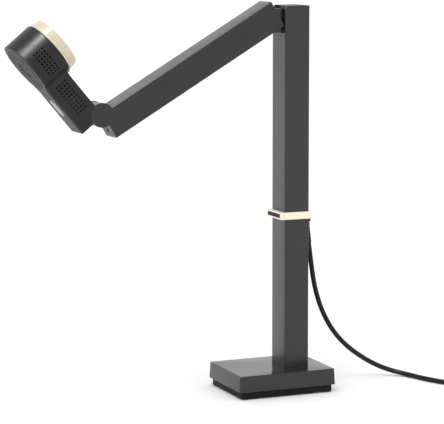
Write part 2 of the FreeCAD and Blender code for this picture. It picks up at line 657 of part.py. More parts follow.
def spring_washers(x, z, shaft, block_half, free):
    """The washers between a pivot's block and the arm's cheeks."""
    def ring(side):
        outer = side_rod(WASHER_RADIUS, block_half + 0.06, EAR_INNER - 0.04, side, x, z)
        return outer.cut(side_rod(shaft + free, 0, EAR_OUTER, side, x, z))
    return both_sides(ring)


def arm_pivot_shaft():
    half = EAR_OUTER - COVER_DISC - 0.05
    return rod_y(PIVOT_SHAFT, -half, half, 0, 0)


def arm_pivot_covers():
    return cover_discs(0, 0)


def arm_pivot_washers():
    return spring_washers(0, 0, PIVOT_SHAFT, NOSE_HALF, RUN_FIT)


def arm_end_cap():
    """The plate that closes the arm's lower end under the ears, with its screw hole."""
    inner = EAR_OUTER - ARM_WALL - SLIP
    low = PIVOT_OVER_UNDERSIDE - ARM_WALL - SLIP
    body = bar(ARM_END - CAP_THICKNESS, ARM_END, inner, CAP_TOP, low)
    boss = rod_x(BOSS_RADIUS, ARM_END - 9.0, ARM_END - 2.5, 0, END_SCREW_Z)
    body = body.fuse(boss).removeSplitter()
    body = body.cut(rod_x(END_SCREW_HEAD + 0.2, ARM_END - 2.2, ARM_END + 1, 0, END_SCREW_Z))
    return body.cut(rod_x(END_SCREW_RADIUS + SLIP, ARM_END - 10, ARM_END, 0, END_SCREW_Z))


def arm_end_screw():
    head = rod_x(END_SCREW_HEAD, ARM_END - 2.15, ARM_END - 0.9, 0, END_SCREW_Z)
    shank = rod_x(END_SCREW_RADIUS, ARM_END - 12.0, ARM_END - 1.5, 0, END_SCREW_Z)
    body = head.fuse(shank).removeSplitter()
    return body.cut(rod_x(0.9, ARM_END - 1.8, ARM_END, 0, END_SCREW_Z))


def arm_lead():
    return rod_x(LEAD_RADIUS, SLOT_RADIUS + 0.5, ARM_END - 18.0, 0, LEAD_Z)


def elbow_shaft():
    half = EAR_OUTER - COVER_DISC - 0.05
    return rod_y(ELBOW_SHAFT, -half, half, ELBOW_X, ELBOW_Z)


def elbow_washers():
    return spring_washers(ELBOW_X, ELBOW_Z, ELBOW_SHAFT, HEAD_KNUCKLE_HALF, RUN_FIT)


def elbow_covers():
    return cover_discs(ELBOW_X, ELBOW_Z)


# ---- head, in its own frame: origin at the elbow, +X towards the round end, +Z lens side --
HEAD_KNUCKLE_HALF = 9.6
HEAD_KNUCKLE_RADIUS = 11.3
EAR_POCKET = EAR_RADIUS + 0.45
VENT_RADIUS = 1.02
HANDLE_VENTS_X = [18.0 + 3.55 * index for index in range(10)]
HANDLE_VENTS_Z = [7.0 + 3.45 * index for index in range(4)]
ROUND_VENTS_ANGLE = [-28.0 + 7.4 * index for index in range(8)]
ROUND_VENTS_Z = [6.2 + 3.4 * index for index in range(4)]
LENS_HOLE = 10.2
SOUND_RINGS = [(13.4, 27), (16.4, 33), (19.4, 39), (22.4, 45)]
SOUND_HOLE = 0.85
LAMP_CENTRE = 31.2
LAMP_LENGTH = 20.5
LAMP_WIDTH = 13.0
HEAD_POST_CIRCLE = 20.5
HEAD_POST_TURNS = (0, 2 * math.pi / 3, -2 * math.pi / 3)
HEAD_POSTS = [(HEAD_CENTRE + HEAD_POST_CIRCLE * math.cos(turn), HEAD_POST_CIRCLE * math.sin(turn))
              for turn in HEAD_POST_TURNS]
HEAD_EDGE = 0.8
PLATE_EDGE = 0.5
POST_RADIUS = 2.6
HEAD_SCREW_RADIUS = 1.1


def head_plan(inset, z0, z1):
    """The head's outline as a block: a round end, a straight handle and a hollow blend."""
    disc = rod_z(HEAD_RADIUS - inset, z0, z1, HEAD_CENTRE)
    handle = bar(inset, HEAD_CENTRE, HEAD_WIDTH / 2 - inset, z0, z1)
    body = disc.fuse(handle).removeSplitter()
    reach = HEAD_CENTRE - math.sqrt((HEAD_RADIUS - inset) ** 2 - (HEAD_WIDTH / 2 - inset) ** 2)
    edges = [e for e in body.Edges if e.BoundBox.ZLength > 0.9 * (z1 - z0)
             and abs(e.BoundBox.XMin - reach) < 0.01 and e.BoundBox.XLength < 0.01]
    return body.makeFillet(HEAD_BLEND + inset, edges)


def vent_drills():
    """The drills for the two groups of vent holes on each side of the head."""
    drills = []
    for side in (1, -1):
        for z in HANDLE_VENTS_Z:
            for x in HANDLE_VENTS_X:
                drills.append(side_rod(VENT_RADIUS, HEAD_WIDTH / 2 - 3, HEAD_WIDTH / 2 + 1, side, x, z))
        for z in ROUND_VENTS_Z:
            for angle in ROUND_VENTS_ANGLE:
                turn = math.radians(angle)
                out = V(math.sin(turn), side * math.cos(turn), 0)
                start = V(HEAD_CENTRE, 0, z) + out * (HEAD_RADIUS - 3)
                drills.append(Part.makeCylinder(VENT_RADIUS, 5, start, out))
    return drills


def head_shell():
    body = head_plan(0, 0, SHELL_FRONT)
    body = round_along(body, V(0, 1, 0), HEAD_EDGE)
    body = body.fuse(rod_z(HEAD_RADIUS, -BACK_RISE, 0.5, HEAD_CENTRE)).removeSplitter()
    rim = [e for e in body.Edges if abs(e.BoundBox.ZMax + BACK_RISE) < 1e-6]
    body = body.makeFillet(HEAD_EDGE, rim)
    cavity = head_plan(HEAD_WALL, HEAD_WALL, SHELL_FRONT + 1)
    round_room = rod_z(HEAD_RADIUS - HEAD_WALL, HEAD_WALL - BACK_RISE, HEAD_WALL + 0.1, HEAD_CENTRE)
    body = body.cut(cavity.fuse(round_room))
    body = body.cut(rod_y(EAR_POCKET, -HEAD_WIDTH, HEAD_WIDTH, 0, 0))
    body = body.cut(rod_z(BUSH_RADIUS + 0.1, -BACK_RISE - 1, 0, HEAD_CENTRE))
    for x, y in HEAD_POSTS:
        body = body.cut(rod_z(HEAD_SCREW_RADIUS + 0.2, -BACK_RISE - 1, 0, x, y))
        body = body.cut(rod_z(POST_RADIUS, -BACK_RISE - 1, -BACK_RISE + 1.0, x, y))
    return body.cut(vent_drills())


def head_front_plate():
    """The flat lens face, with sound holes round the lens and posts for the screws."""
    plate = head_plan(0, PLATE_BACK, HEAD_THICKNESS)
    plate = round_level(plate, HEAD_THICKNESS, PLATE_EDGE)
    plate = plate.cut(rod_z(LENS_HOLE, PLATE_BACK - 1, HEAD_THICKNESS + 1, HEAD_CENTRE))
    lamp_hole = oblong(LAMP_LENGTH + 0.1, LAMP_WIDTH + 0.1, PLATE_BACK - 1, HEAD_THICKNESS + 1,
                       LAMP_CENTRE)
    plate = plate.cut(lamp_hole)
    drills = []
    for radius, count in SOUND_RINGS:
        for index in range(count):
            turn = 2 * math.pi * index / count
            x = HEAD_CENTRE + radius * math.cos(turn)
            y = radius * math.sin(turn)
            drills.append(rod_z(SOUND_HOLE, PLATE_BACK - 1, HEAD_THICKNESS + 1, x, y))
    plate = plate.cut(drills)
    plate = plate.cut(rod_y(EAR_POCKET, -HEAD_WIDTH, HEAD_WIDTH, 0, 0))
    for x, y in HEAD_POSTS:
        post = rod_z(POST_RADIUS, HEAD_WALL - BACK_RISE + 0.1, PLATE_BACK, x, y)
        plate = plate.fuse(post.cut(rod_z(HEAD_SCREW_RADIUS + SLIP, HEAD_WALL - BACK_RISE, 12.0, x, y)))
    return plate.removeSplitter()


def sound_screen():
    """The dust cloth behind the sound holes."""
    screen = rod_z(24.6, PLATE_BACK - 0.4, PLATE_BACK - 0.02, HEAD_CENTRE)
    screen = screen.cut(rod_z(LENS_HOLE + 1.4, PLATE_BACK - 1, HEAD_THICKNESS, HEAD_CENTRE))
    for x, y in HEAD_POSTS:
        screen = screen.cut(rod_z(2.8, PLATE_BACK - 1, PLATE_BACK, x, y))
    return screen


def vent_screens():
    """The dust cloths behind the side vents, flat in the handle and curved in the round end."""
    inner = HEAD_WIDTH / 2 - HEAD_WALL
    pieces = []
    for side in (1, -1):
        low, high = sorted((side * (inner - 0.02), side * (inner - 0.4)))
        pieces.append(box(33.2, 52.5, low, high, 4.5, 20.0))
        ring = rod_z(HEAD_RADIUS - HEAD_WALL - 0.02, 3.5, 19.0, HEAD_CENTRE)
        ring = ring.cut(rod_z(HEAD_RADIUS - HEAD_WALL - 0.4, 3, 20, HEAD_CENTRE))
        low, high = sorted((side * 21.5, side * HEAD_RADIUS))
        pieces.append(ring.common(box(HEAD_CENTRE - 16, HEAD_CENTRE + 16, low, high, 3, 20)))
    return Part.makeCompound(pieces)


def head_knuckle():
    """The fitting in the handle's end, with the knuckle that the arm's ears hold."""
    inner = HEAD_WIDTH / 2 - HEAD_WALL - SLIP
    block = bar(HEAD_WALL + SLIP, 33.0, inner, HEAD_WALL + SLIP, 20.0)
    ears = rod_y(EAR_POCKET, -inner - 1, inner + 1, 0, 0)
    ears = ears.cut(rod_y(EAR_POCKET + 1, -HEAD_KNUCKLE_HALF, HEAD_KNUCKLE_HALF, 0, 0))
    body = block.cut(ears)
    knuckle = rod_y(HEAD_KNUCKLE_RADIUS, -HEAD_KNUCKLE_HALF, HEAD_KNUCKLE_HALF, 0, 0)
    body = body.fuse(knuckle).removeSplitter()
    pocket = rod_y(EAR_POCKET, -HEAD_WIDTH, HEAD_WIDTH, 0, 0)
    shell_wall = bar(-1, 40, HEAD_WIDTH, -30, HEAD_WALL).cut(pocket)
    shell_end = bar(-30, HEAD_WALL, HEAD_WIDTH, -1, 40).cut(pocket)
    body = body.cut(shell_wall).cut(shell_end)
    body = body.cut(rod_y(ELBOW_SHAFT + RUN_FIT, -20, 20, 0, 0))
    return body.cut(bar(17.0, 34.0, 9.0, 6.0, 21.0))


def lens_window():
    return rod_z(LENS_HOLE - 0.05, PLATE_BACK + 0.6, HEAD_THICKNESS - 0.3, HEAD_CENTRE)


def lens_bezel():
    ring = rod_z(LENS_HOLE - 0.05, PLATE_BACK - 2.4, PLATE_BACK + 0.55, HEAD_CENTRE)
    return ring.cut(Part.makeCone(6.4, 8.6, 3.2, V(HEAD_CENTRE, 0, PLATE_BACK - 2.5), V(0, 0, 1)))


def lens_barrel():
    thick = rod_z(7.6, 12.0, 19.0, HEAD_CENTRE)
    thin = rod_z(6.2, 19.0, PLATE_BACK - 0.9, HEAD_CENTRE)
    body = thick.fuse(thin).removeSplitter()
    return body.cut(rod_z(4.6, 13.5, PLATE_BACK, HEAD_CENTRE))


def lens_element():
    ball = Part.makeSphere(7.4, V(HEAD_CENTRE, 0, 16.2))
    return ball.common(rod_z(4.55, 20.6, 24.0, HEAD_CENTRE))


def sensor_board():
    return bar(HEAD_CENTRE - 11, HEAD_CENTRE + 11, 11.0, 10.6, 11.9)


def main_board():
    board = bar(35.0, HEAD_CENTRE + 12, 12.4, 6.0, 7.3)
    board = board.cut(bar(HEAD_CENTRE - 9.0, HEAD_CENTRE + 13, 13.0, 5, 8))
    tongue = bar(HEAD_CENTRE - 9.0, HEAD_CENTRE + 12, 9.0, 6.0, 7.3)
    return board.fuse(tongue).removeSplitter()


def board_posts():
    """The four spacers that carry the sensor board on the main board."""
    posts = []
    for sx in (-1, 1):
        for sy in (-1, 1):
            posts.append(rod_z(1.4, 7.32, 10.58, HEAD_CENTRE + sx * 7, sy * 7))
    return Part.makeCompound(posts)


def lamp_diffuser():
    body = oblong(LAMP_LENGTH, LAMP_WIDTH, PLATE_BACK - 0.4, HEAD_THICKNESS + 0.1, LAMP_CENTRE)
    return round_level(body, HEAD_THICKNESS + 0.1, 0.3)


def lamp_board():
    return bar(LAMP_CENTRE - 11, LAMP_CENTRE + 11, 6.5, 20.9, 22.1)


def lamp_leds():
    return Part.makeCompound([bar(LAMP_CENTRE + dx - 1.4, LAMP_CENTRE + dx + 1.4, 1.4, 22.12, 22.9)
                              for dx in (-7.0, 0.0, 7.0)])


def head_screws():
    screws = []
    for x, y in HEAD_POSTS:
        screws.append(screw_down(HEAD_SCREW_RADIUS, 2.4, 0.8, -BACK_RISE + 0.1, 9.0, x, y))
    return Part.makeCompound(screws)


# ---- knob and the rotary switch that it turns --------------------------------------------
BUSH_RADIUS = 4.4
SPINDLE_RADIUS = 3.0
GROOVE_COUNT = 18
GROOVE_STEP = 4.3
GROOVE_RADIUS = 0.65
KNOB_RIM = 1.4
CAP_RADIUS = 22.6


def rotary_switch():
    body = bar(HEAD_CENTRE - 6, HEAD_CENTRE + 6, 6.0, -1.9, 4.6)
    bush = rod_z(BUSH_RADIUS, -BACK_RISE - 2.5, -1.5, HEAD_CENTRE)
    body = body.fuse(bush).removeSplitter()
    return body.cut(rod_z(SPINDLE_RADIUS + RUN_FIT, -BACK_RISE - 3, 3.6, HEAD_CENTRE))


def knob_spindle():
    return rod_z(SPINDLE_RADIUS, KNOB_TOP + 2.6, 3.0, HEAD_CENTRE)


def knob():
    """A hollow round knob, finely grooved on its two grip sides."""
    top_centre = V(HEAD_CENTRE, 0, KNOB_TOP)
    body = Part.makeCone(KNOB_TOP_RADIUS, KNOB_RADIUS, KNOB_HEIGHT, top_centre, V(0, 0, 1))
    top = [e for e in body.Edges if abs(e.BoundBox.ZMax - KNOB_TOP) < 1e-6]
    body = body.makeFillet(1.0, top)
    lean = math.atan((KNOB_RADIUS - KNOB_TOP_RADIUS) / KNOB_HEIGHT)
    surface = KNOB_RADIUS - KNOB_RIM * math.tan(lean) + 0.08
    cutters = []
    for side in (90, -90):
        for index in range(GROOVE_COUNT):
            turn = math.radians(side + GROOVE_STEP * (index - (GROOVE_COUNT - 1) / 2))
            out = V(math.cos(turn), math.sin(turn), 0)
            start = V(HEAD_CENTRE, 0, KNOB_BASE - KNOB_RIM) + out * surface
            along = V(0, 0, -math.cos(lean)) - out * math.sin(lean)
            cutters.append(Part.makeCylinder(GROOVE_RADIUS, KNOB_HEIGHT + 1, start, along))
    body = body.cut(cutters)
    body = body.cut(rod_z(KNOB_RADIUS - 4.2, KNOB_TOP + 3.4, KNOB_BASE + 1, HEAD_CENTRE))
    hub = rod_z(6.2, KNOB_TOP + 3.0, -BACK_RISE - 3.2, HEAD_CENTRE)
    body = body.fuse(hub).removeSplitter()
    body = body.cut(rod_z(SPINDLE_RADIUS + SLIP, KNOB_TOP + 2.5, KNOB_BASE + 2, HEAD_CENTRE))
    return body.cut(rod_z(CAP_RADIUS + 0.1, KNOB_TOP - 1, KNOB_TOP + 1.2, HEAD_CENTRE))


def knob_cap():
    body = rod_z(CAP_RADIUS, KNOB_TOP + 0.3, KNOB_TOP + 1.18, HEAD_CENTRE)
    rim = [e for e in body.Edges if abs(e.BoundBox.ZMax - KNOB_TOP - 0.3) < 1e-6]
    return body.makeFillet(0.35, rim)


# ---- build every piece ----------------------------------------------------------------------
STAND = [base_cover, base_plinth, rubber_pad, ballast_weight, base_screws, column_foot,
         column_foot_bolts, column_set_screws, column_tube, hinge_block, hinge_block_screws,
         column_top_cap, collar_band, collar_pad, cable_outlet, strain_relief, usb_cable,
         usb_cable_coil, coil_tie, column_lead]
PLUG = [usb_plug_relief, usb_plug_body, usb_plug_shell, usb_plug_tongue]
ARM = [arm_tube, arm_pivot_shaft, arm_pivot_covers, arm_pivot_washers, arm_end_cap,
       arm_end_screw, arm_lead, elbow_shaft, elbow_washers, elbow_covers]
HEAD = [head_shell, head_front_plate, sound_screen, vent_screens, head_knuckle, lens_window,
        lens_bezel, lens_barrel, lens_element, sensor_board, main_board, board_posts,
        lamp_diffuser, lamp_board, lamp_leds, head_screws, rotary_switch, knob_spindle, knob,
        knob_cap]

for maker in STAND:
    save(maker.__name__, maker())
for maker in PLUG:
    save(maker.__name__, maker(), PLUG_FRAME)
for maker in ARM:
    save(maker.__name__, maker(), ARM_FRAME)
for maker in HEAD:
    save(maker.__name__, maker(), HEAD_FRAME)

print("arm pivot", ARM_PIVOT, "elbow", ELBOW, "lens axis point", HEAD_FRAME.multVec(V(HEAD_CENTRE, 0, 0)))
print("relief end", relief_end())
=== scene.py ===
import json
import math

import bpy
from mathutils import Matrix, Vector


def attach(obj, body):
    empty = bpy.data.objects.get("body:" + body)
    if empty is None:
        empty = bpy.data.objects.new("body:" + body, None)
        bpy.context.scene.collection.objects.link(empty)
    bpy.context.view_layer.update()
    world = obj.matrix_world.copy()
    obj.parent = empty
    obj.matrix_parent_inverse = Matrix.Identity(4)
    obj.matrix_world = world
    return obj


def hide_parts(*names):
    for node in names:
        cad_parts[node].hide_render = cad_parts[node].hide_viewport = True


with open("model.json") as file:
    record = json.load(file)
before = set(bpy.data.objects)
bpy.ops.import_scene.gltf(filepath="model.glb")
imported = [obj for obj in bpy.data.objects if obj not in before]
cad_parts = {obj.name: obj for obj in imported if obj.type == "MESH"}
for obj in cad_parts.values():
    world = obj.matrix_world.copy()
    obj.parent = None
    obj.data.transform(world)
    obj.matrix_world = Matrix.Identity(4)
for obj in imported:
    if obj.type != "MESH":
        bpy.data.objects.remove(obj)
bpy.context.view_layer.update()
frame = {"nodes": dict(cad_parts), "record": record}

# Looks of the document camera. Metres, in the frame of the CAD model: +Z is up, the arm and head
# reach towards -X, and the cable's coil lies on the -Y side.


def add_object(name, data):
    """A new object, linked into the scene."""
    obj = bpy.data.objects.new(name, data)
    bpy.context.scene.collection.objects.link(obj)
    return obj


# ---- camera ------------------------------------------------------------------------------------
CAMERA_PLACE = Vector((-0.8201, -1.8207, 0.4538))
CAMERA_AZIMUTH = math.radians(-22.82)
CAMERA_TILT = math.radians(7.83)
CAMERA_ROLL = math.radians(-0.08)
CAMERA_LENS = 164.2            # millimetres
CAMERA_REACH = 200.0


def make_camera():
    data = bpy.data.cameras.new("camera")
    data.lens = CAMERA_LENS
    data.clip_end = CAMERA_REACH
    camera = add_object("camera", data)
    back = Vector((math.sin(CAMERA_AZIMUTH) * math.cos(CAMERA_TILT),
                   -math.cos(CAMERA_AZIMUTH) * math.cos(CAMERA_TILT),
                   math.sin(CAMERA_TILT)))
    right = Vector((math.cos(CAMERA_AZIMUTH), math.sin(CAMERA_AZIMUTH), 0))
    up = back.cross(right)
    turn = Matrix((right, up, back)).transposed() @ Matrix.Rotation(CAMERA_ROLL, 3, "Z")
    camera.matrix_world = Matrix.Translation(CAMERA_PLACE) @ turn.to_4x4()
    bpy.context.scene.camera = camera


# ---- cable -------------------------------------------------------------------------------------
CABLE_DIAMETER = 0.005
FLOOR_LINE = CABLE_DIAMETER / 2
CABLE_ROUTE = [
    (0.0403, 0.0, 0.1464),
    (0.0432, 0.0, 0.1255),
    (0.0466, 0.0008, 0.1052),
    (0.0522, 0.0022, 0.0866),
    (0.0604, 0.0042, 0.0688),
    (0.0716, 0.0066, 0.0518),
    (0.0864, 0.009, 0.0362),
    (0.104, 0.011, 0.023),
    (0.1205, 0.0115, 0.013),
    (0.1345, 0.0086, 0.0066),
    (0.146, 0.001, 0.0034),
    (0.1528, -0.012, FLOOR_LINE),
    (0.157, -0.028, FLOOR_LINE),
    (0.164, -0.046, FLOOR_LINE),
    (0.173, -0.0618, FLOOR_LINE),
    (0.185, -0.0775, FLOOR_LINE),
    (0.1955, -0.0925, FLOOR_LINE),
]
COIL_CENTRE = Vector((0.226, -0.082, 0))
COIL_MIDDLE = 0.0272
COIL_LOW = 0.003               # middle of the lowest row of turns
ROW_RISE = CABLE_DIAMETER * math.sqrt(3) / 2
# Where each turn lies in the bundle's section, in the order of winding: distance from the
# middle turn in diameters, and row.
TURN_PLACES = [(0.5, 0), (-0.5, 0), (-1, 1), (0, 1), (-0.5, 2), (0.5, 2), (1, 1)]
COIL_START = math.radians(215)
COIL_END = math.radians(10 + 360 * len(TURN_PLACES))
CROSSING = math.radians(85)    # angle that the cable takes to change its place
POINTS_PER_TURN = 24
PLUG_RUN = 0.0245              # from the coil to the end of the cable in the plug's relief
PLUG_LINE = 0.0039             # height of the plug's axis
PLUG_SHARES = (0.12, 0.25, 0.37, 0.5, 0.62, 0.75, 1.0)
PLUG_LEVEL_SHARE = 0.75        # part of that run after which the cable lies at the plug's height
SECTION_STEPS = 6
CURVE_STEPS = 6
SPLINE_ORDER = 3


def gentle_step(t):
    """From 0 to 1 along two equal arcs, the gentlest bend that joins two parallel lines."""
    t = min(1.0, max(0.0, t))
    return 2 * t * t if t < 0.5 else 1 - 2 * (1 - t) * (1 - t)


def coil_points():
    """The coil's turns, each in its own place in the bundle, then the run to the plug."""
    places = [(COIL_MIDDLE + across * CABLE_DIAMETER, COIL_LOW + row * ROW_RISE)
              for across, row in TURN_PLACES]
    sweep = COIL_END - COIL_START
    per_place = sweep / len(places)
    count = round(sweep / (2 * math.pi) * POINTS_PER_TURN)
    swell = 1 / math.cos(math.pi / POINTS_PER_TURN)
    points = []
    for index in range(count + 1):
        angle = sweep * index / count
        radius, height = places[0]
        for number in range(1, len(places)):
            share = gentle_step((angle - number * per_place) / CROSSING + 0.5)
            radius += share * (places[number][0] - places[number - 1][0])
            height += share * (places[number][1] - places[number - 1][1])
        turn = COIL_START + angle
        points.append(COIL_CENTRE + Vector((radius * swell * math.cos(turn),
                                            radius * swell * math.sin(turn), height)))
    along = Vector((-math.sin(COIL_END), math.cos(COIL_END), 0))
    start = points[-1]
    for share in PLUG_SHARES:
        point = start + along * PLUG_RUN * share
        point.z = start.z + (PLUG_LINE - start.z) * gentle_step(share / PLUG_LEVEL_SHARE)
        points.append(point)
    return points


def make_cable():
    curve = bpy.data.curves.new("usb_cable_line", "CURVE")
    curve.dimensions = "3D"
    curve.bevel_depth = 1.0        # times each point's radius, which the curve's box counts too
    curve.bevel_resolution = SECTION_STEPS
    curve.resolution_u = CURVE_STEPS
    curve.use_fill_caps = True
    spline = curve.splines.new("NURBS")
    points = [Vector(p) for p in CABLE_ROUTE] + coil_points()
    spline.points.add(len(points) - 1)
    for target, point in zip(spline.points, points):
        target.co = (*point, 1)
        target.radius = CABLE_DIAMETER / 2
    spline.order_u = SPLINE_ORDER
    spline.use_endpoint_u = True
    cable = add_object("usb_cable_run", curve)
    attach(cable, "stand")
    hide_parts("usb_cable", "usb_cable_coil")
    return cable


# ---- materials ---------------------------------------------------------------------------------
NOISE_SPAN = (0.3, 0.7)        # where most of a noise's values lie


class Finish:
    """A material with one Principled shader, and short ways to add and join its nodes."""

    def __init__(self, name, colour, roughness, **constants):
        self.material = bpy.data.materials.new(name)
        self.material.use_nodes = True
        self.nodes = self.material.node_tree.nodes
        self.links = self.material.node_tree.links
        self.nodes.clear()
        output = self.nodes.new("ShaderNodeOutputMaterial")
        self.shader = self.nodes.new("ShaderNodeBsdfPrincipled")
        self.links.new(self.shader.outputs["BSDF"], output.inputs["Surface"])
        self.shader.inputs["Base Color"].default_value = (*colour, 1)
        self.shader.inputs["Roughness"].default_value = roughness
        for socket, value in constants.items():
            self.shader.inputs[socket.replace("_", " ")].default_value = value
        self.place = self.nodes.new("ShaderNodeTexCoord").outputs["Object"]

    def node(self, kind, settings=None, **inputs):
        made = self.nodes.new(kind)
        for key, value in (settings or {}).items():
            setattr(made, key, value)
        for key, value in inputs.items():
            self.feed(made.inputs[key.replace("_", " ")], value)
        return made

    def feed(self, socket, value):
        if isinstance(value, bpy.types.NodeSocket):
            self.links.new(value, socket)
        else:
            socket.default_value = value

    def stretched(self, x, y, z):
        """Object coordinates scaled by three factors."""
        return self.node("ShaderNodeMapping", Vector=self.place, Scale=(x, y, z)).outputs["Vector"]

    def noise(self, size, detail=3.0, vector=None):
        """Noise from 0 to 1 whose features are about size metres."""
        return self.node("ShaderNodeTexNoise", Vector=vector or self.place, Scale=1 / size,
                         Detail=detail).outputs["Fac"]

    def spots(self, size, reach):
        """Round specks, 1 in their middle, in cells of about size metres."""
        cells = self.node("ShaderNodeTexVoronoi", Vector=self.place, Scale=1 / size)
        return self.between(cells.outputs["Distance"], reach, 0.0, 0.0, 1.0)

    def between(self, value, low, high, to_low, to_high):
        """The value moved from one range to another, and clamped to it."""
        return self.node("ShaderNodeMapRange", {"clamp": True}, Value=value, From_Min=low,
                         From_Max=high, To_Min=to_low, To_Max=to_high).outputs["Result"]

    def spread(self, noise, to_low=0.0, to_high=1.0):
        """A noise's usual values spread over a range."""
        return self.between(noise, *NOISE_SPAN, to_low, to_high)

    def maths(self, operation, a, b):
        made = self.nodes.new("ShaderNodeMath")
        made.operation = operation
        self.feed(made.inputs[0], a)
        self.feed(made.inputs[1], b)
        return made.outputs[0]

    def mix(self, share, first, second):
        made = self.nodes.new("ShaderNodeMix")
        made.data_type = "RGBA"
        self.feed(made.inputs["Factor"], share)
        sockets = [socket for socket in made.inputs if socket.type == "RGBA"]
        for socket, colour in zip(sockets, (first, second)):
            linked = isinstance(colour, bpy.types.NodeSocket)
            self.feed(socket, colour if linked else (*colour, 1))
        return next(socket for socket in made.outputs if socket.type == "RGBA")

    def bump(self, height, depth):
        """Relief of the given depth in metres on top of what is there."""
        made = self.node("ShaderNodeBump", Height=height, Distance=depth, Strength=1.0)
        socket = self.shader.inputs["Normal"]
        if socket.is_linked:
            self.links.new(socket.links[0].from_socket, made.inputs["Normal"])
        self.links.new(made.outputs["Normal"], socket)

    def colour(self, value):
        self.links.new(value, self.shader.inputs["Base Color"])

    def roughness(self, value):
        self.links.new(value, self.shader.inputs["Roughness"])


def shade(colour, factor):
    return tuple(c * factor for c in colour)


def moulded(name, colour, low, high, grain, depth, **constants):
    """Moulded plastic: a fine eroded grain, cloudy gloss and a few pale dust specks."""
    f = Finish(name, colour, low, **constants)
    cloud = f.noise(0.03, 4.0)
    dust = f.spots(0.004, 0.035)
    body = f.mix(f.spread(cloud), shade(colour, 0.85), shade(colour, 1.15))
    dust_colour = (0.3, 0.29, 0.27)
    f.colour(f.mix(f.maths("MULTIPLY", dust, 0.35), body, dust_colour))
    f.roughness(f.spread(f.noise(0.008, 5.0), low, high))
    f.bump(f.noise(grain, 2.0), depth)
    return f.material


def gloss_black():
    """Polished black with smudges and fine wiping marks."""
    colour = (0.011, 0.011, 0.012)
    f = Finish("gloss_black", colour, 0.08, Specular_IOR_Level=0.5)
    smudge = f.noise(0.018, 5.0)
    hairs = f.noise(0.0006, 2.0, f.stretched(0.04, 1, 1))
    f.colour(f.mix(f.between(smudge, 0.3, 0.8, 0, 1), colour, shade(colour, 1.5)))
    wiped = f.between(smudge, 0.35, 0.75, 0.04, 0.12)
    f.roughness(f.maths("ADD", wiped, f.between(hairs, 0.62, 0.8, 0.0, 0.08)))
    f.bump(f.noise(0.0025, 2.0), 0.000008)
    return f.material


def painted_black(name, colour):
    """Powder paint on metal: slight orange peel and a fine sparkle of grain."""
    f = Finish(name, colour, 0.25, Specular_IOR_Level=0.5)
    cloud = f.noise(0.05, 3.0)
    grain = f.noise(0.0004, 2.0)
    base = f.mix(f.spread(cloud), shade(colour, 0.9), shade(colour, 1.15))
    sparkle_colour = (0.06, 0.06, 0.062)
    f.colour(f.mix(f.between(grain, 0.55, 0.8, 0, 0.25), base, sparkle_colour))
    f.roughness(f.spread(f.noise(0.012, 4.0), 0.2, 0.29))
    f.bump(f.noise(0.0012, 2.0), 0.000012)
    f.bump(grain, 0.000004)
    return f.material


def rubber():
    """Matt rubber with worn, paler patches."""
    colour = (0.012, 0.012, 0.0125)
    f = Finish("rubber", colour, 0.7, Specular_IOR_Level=0.3)
    f.colour(f.mix(f.between(f.noise(0.006, 5.0), 0.35, 0.75, 0, 1), colour, shade(colour, 2.0)))
    f.roughness(f.spread(f.noise(0.003, 3.0), 0.58, 0.82))
    f.bump(f.noise(0.0005, 4.0), 0.00003)
    return f.material


def cable_jacket():
    """Soft cable jacket with scuffs."""
    colour = (0.006, 0.006, 0.0065)
    f = Finish("cable_jacket", colour, 0.4, Specular_IOR_Level=0.25)
    scuff = f.noise(0.004, 5.0)
    f.colour(f.mix(f.between(scuff, 0.5, 0.8, 0, 1), colour, shade(colour, 2.2)))
    f.roughness(f.spread(scuff, 0.32, 0.48))
    f.bump(f.noise(0.0004, 3.0), 0.00001)
    return f.material


def metal(name, colour, low, high, streak):
    """Machined metal with turning or brushing marks and dull patches."""
    f = Finish(name, colour, low, Metallic=1.0)
    marks = f.noise(0.00035, 3.0, f.stretched(*streak))
    f.colour(f.mix(f.spread(f.noise(0.006, 4.0)), shade(colour, 0.8), colour))
    f.roughness(f.between(marks, 0.25, 0.75, low, high))
    f.bump(marks, 0.000006)
    return f.material


def circuit_board():
    """Solder mask over a net of copper tracks, with tinned pads."""
    mask = (0.008, 0.06, 0.028)
    covered_copper = (0.02, 0.14, 0.06)
    tin = (0.55, 0.55, 0.52)
    f = Finish("circuit_board", mask, 0.35)
    tracks = f.node("ShaderNodeTexBrick", {"offset": 0.35, "squash": 1.6}, Vector=f.place,
                    Scale=260.0, Mortar_Size=0.035, Mortar_Smooth=0.1).outputs["Fac"]
    pads = f.spots(0.0035, 0.13)
    body = f.mix(tracks, mask, covered_copper)
    f.colour(f.mix(f.between(pads, 0.0, 0.2, 0, 1), body, tin))
    f.roughness(f.spread(f.noise(0.005), 0.28, 0.45))
    f.bump(tracks, 0.00004)
    return f.material


def screen_cloth():
    """Fine black woven cloth behind the holes."""
    colour = (0.006, 0.006, 0.006)
    f = Finish("screen_cloth", colour, 0.8)
    threads = []
    for axis in "XYZ":
        bands = f.node("ShaderNodeTexWave", {"wave_type": "BANDS", "bands_direction": axis},
                       Vector=f.place, Scale=500.0, Distortion=0.6)
        threads.append(bands.outputs["Fac"])
    weave = f.maths("MAXIMUM", f.maths("MAXIMUM", threads[0], threads[1]), threads[2])
    f.colour(f.mix(weave, shade(colour, 0.5), shade(colour, 2.0)))
    f.bump(weave, 0.00005)
    return f.material


def glass():
    """Dark lens with faint finger marks. Its index is far below real glass's, to stay dark."""
    clear = (0.2, 0.205, 0.22)
    f = Finish("glass", clear, 0.02, Transmission_Weight=1.0, IOR=1.05)
    f.roughness(f.between(f.noise(0.006, 5.0), 0.45, 0.8, 0.015, 0.06))
    f.colour(f.mix(f.between(f.noise(0.004), 0.4, 0.8, 0, 1), clear, shade(clear, 0.8)))
    return f.material


